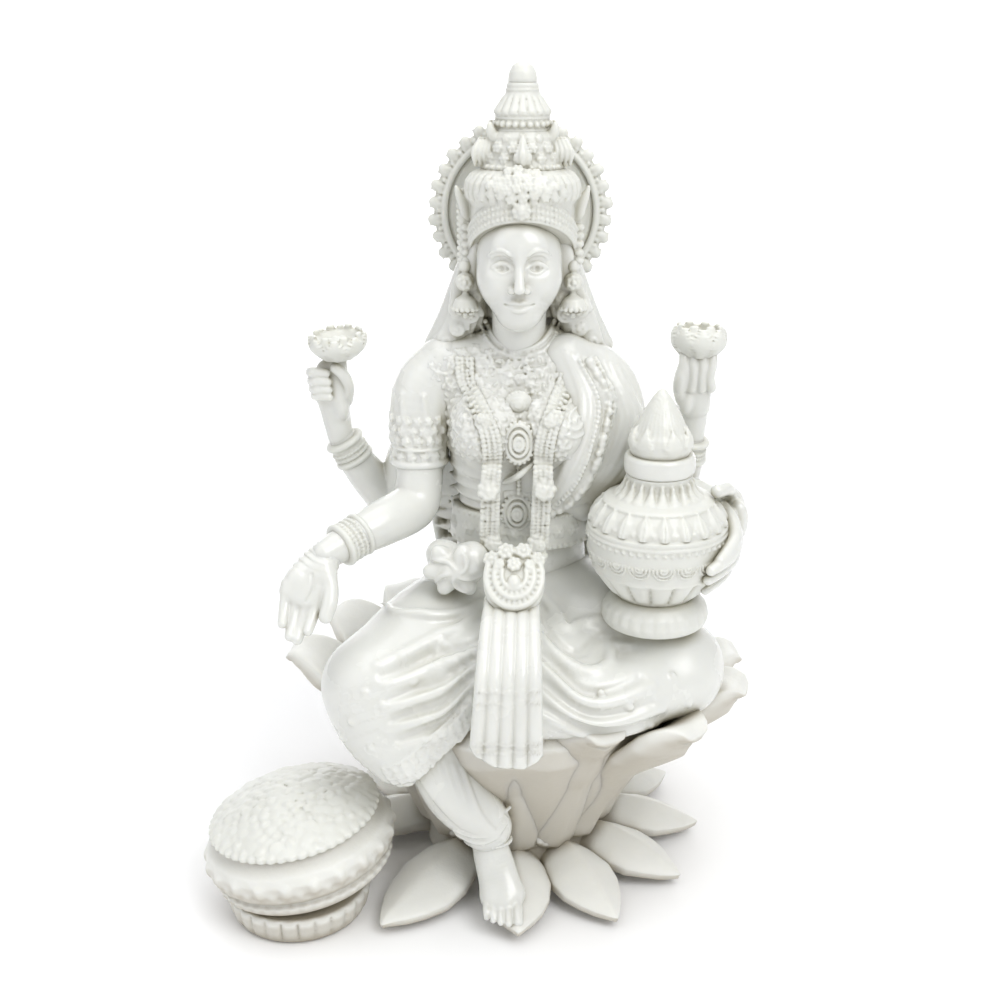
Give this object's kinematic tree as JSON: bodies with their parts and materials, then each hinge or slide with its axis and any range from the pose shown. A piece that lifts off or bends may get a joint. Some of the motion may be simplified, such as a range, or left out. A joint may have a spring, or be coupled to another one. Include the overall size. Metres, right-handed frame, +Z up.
{
  "type": "hindu deity statue",
  "caption": "Seated four-armed goddess on a double lotus with halo and tall crown, a vase on her thigh and a treasure bowl by her foot, in white cast stone.",
  "frame": {"origin": "centre of the plinth's flat underside, on the surface the statue stands on", "axes": "+Z up through the crown; the figure faces -Y; her left side is +X"},
  "size_m": [0.2028, 0.178, 0.305],
  "materials": {
    "skin": "polished cast stone",
    "cloth": "smooth cast stone",
    "ornament": "carved cast stone",
    "lotus": "satin cast stone"
  },
  "bodies": {
    "root": {"plinth": "lotus", "lotus_cup": "lotus", "vase_foot": "ornament", "vase_body": "ornament", "vase_collar": "skin", "vase_coconut": "ornament", "bowl_foot": "lotus", "bowl_belly": "lotus", "coin_heap": "ornament", "halo_plate": "ornament", "halo_rim": "ornament", "crown_finial": "ornament", "crown_top": "ornament", "crown_middle": "ornament", "crown_base": "ornament", "head": "skin", "torso": "cloth", "waist_belt": "ornament", "right_garland": "ornament", "left_garland": "ornament", "chest_pendant": "ornament", "right_earring": "ornament", "left_earring": "ornament", "right_foot": "skin", "front_sash": "cloth", "belt_medallion": "ornament", "hip_knot": "cloth", "hips_drape": "cloth", "right_shin_drape": "cloth", "right_thigh_drape": "cloth", "right_calf": "cloth", "left_shin_drape": "cloth", "left_thigh_drape": "cloth", "right_forearm": "skin", "right_sleeve": "cloth", "right_bangle": "ornament", "right_hand": "skin", "shawl": "cloth", "left_forearm": "skin", "left_hand": "skin", "right_rear_arm": "skin", "left_rear_arm": "skin", "right_rear_bangle": "ornament", "left_rear_bangle": "ornament", "right_lotus": "ornament", "left_lotus": "ornament", "right_rear_hand": "skin", "left_rear_hand": "skin", "back_hair": "cloth", "lower_petal_01": "lotus", "lower_petal_02": "lotus", "lower_petal_03": "lotus", "lower_petal_04": "lotus", "lower_petal_05": "lotus", "lower_petal_06": "lotus", "lower_petal_07": "lotus", "lower_petal_08": "lotus", "lower_petal_09": "lotus", "lower_petal_10": "lotus", "lower_petal_11": "lotus"}
  },
  "joints": []
}
